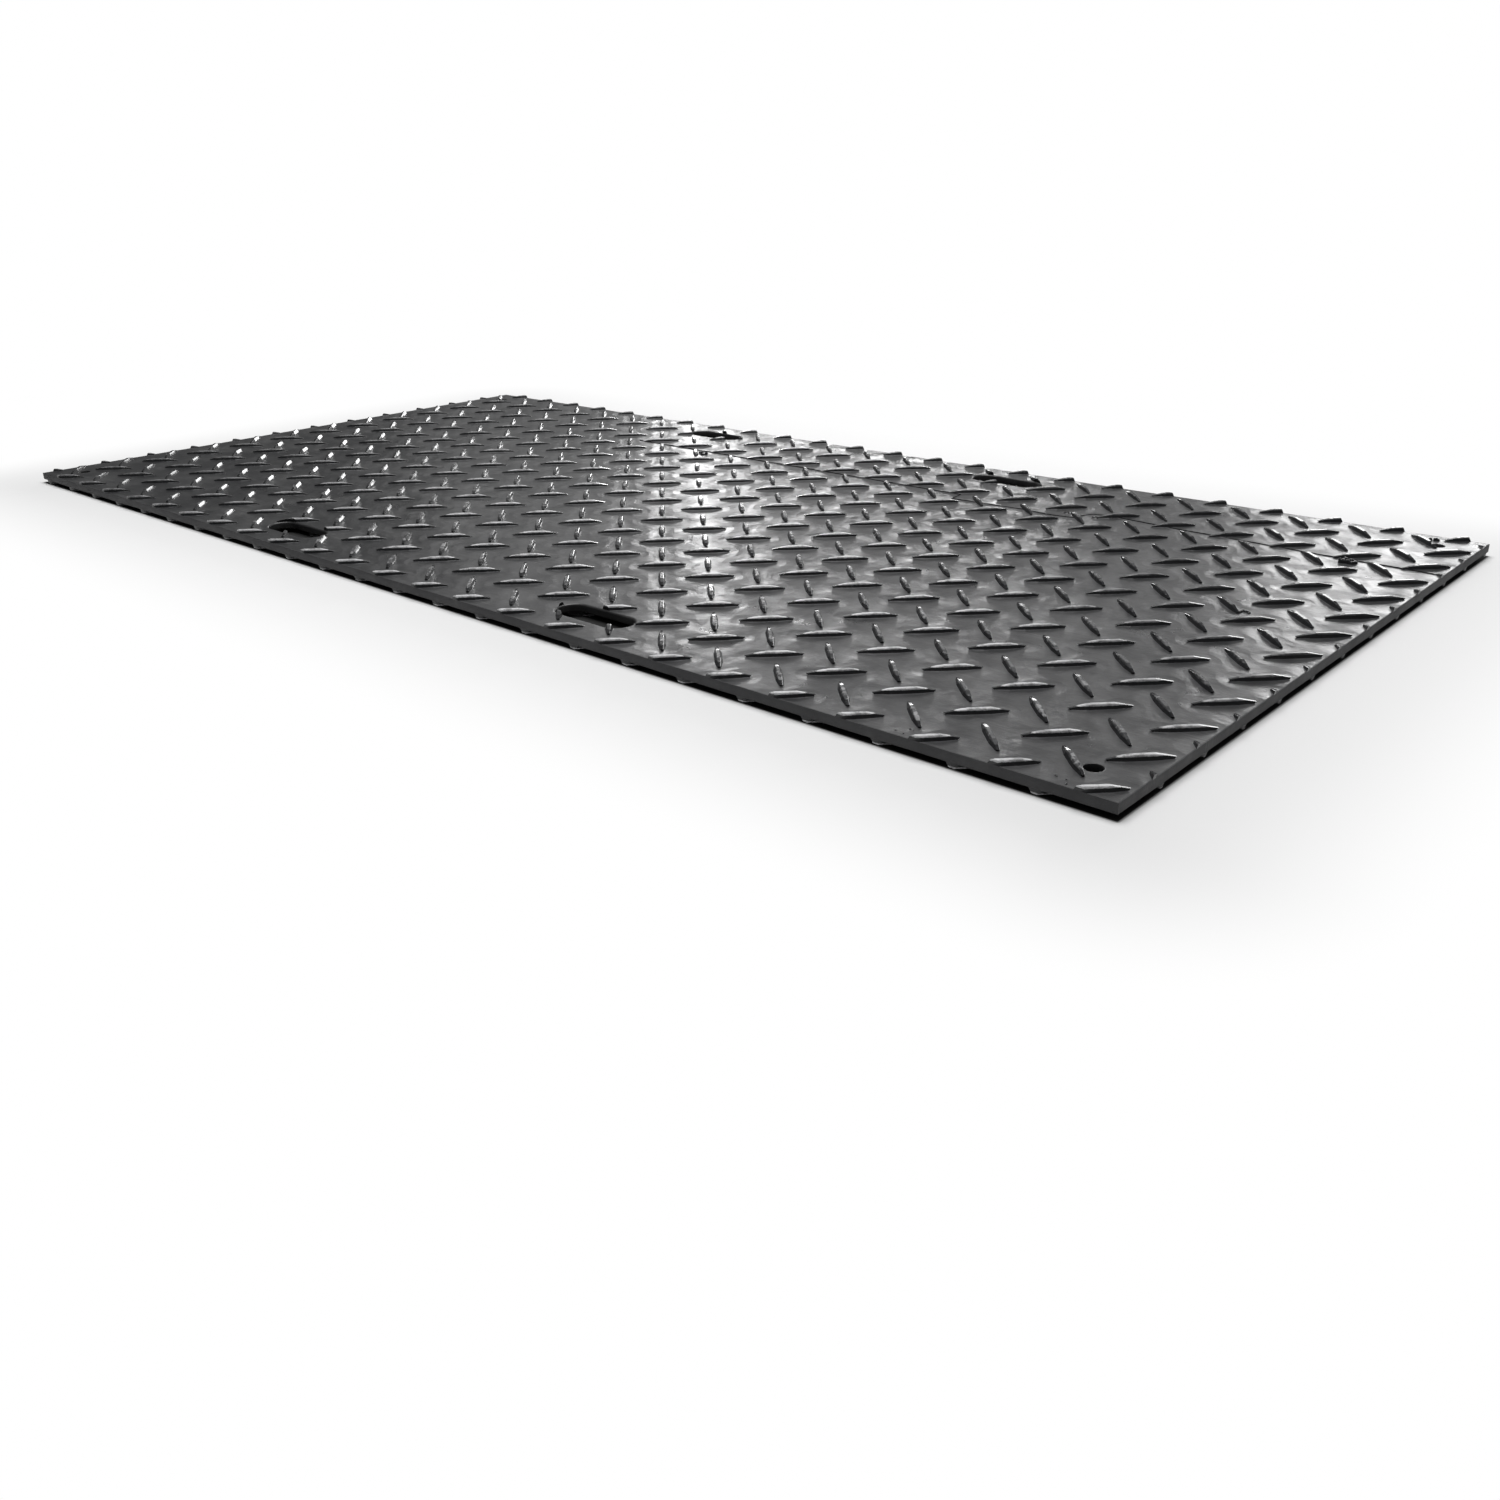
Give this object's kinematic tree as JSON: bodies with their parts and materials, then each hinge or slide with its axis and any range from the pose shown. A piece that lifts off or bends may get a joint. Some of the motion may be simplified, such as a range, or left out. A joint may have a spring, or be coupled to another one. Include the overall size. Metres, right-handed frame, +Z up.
{
  "type": "ground protection mat",
  "caption": "Heavy black polyethylene ground protection mat: a flat moulded sheet with a raised bar tread, rounded hand slots along both long edges and a connector hole in each corner.",
  "frame": {"origin": "centre of the sheet's outline on its underside, the face that lies on the ground", "axes": "+X along the sheet's long side, +Y across it, +Z up out of the tread"},
  "size_m": [2.44, 1.22, 0.0177],
  "materials": {
    "black_polyethylene": "moulded semi-gloss black, scuffed and dusty from handling"
  },
  "bodies": {
    "root": {"mat": "black_polyethylene"}
  },
  "joints": []
}
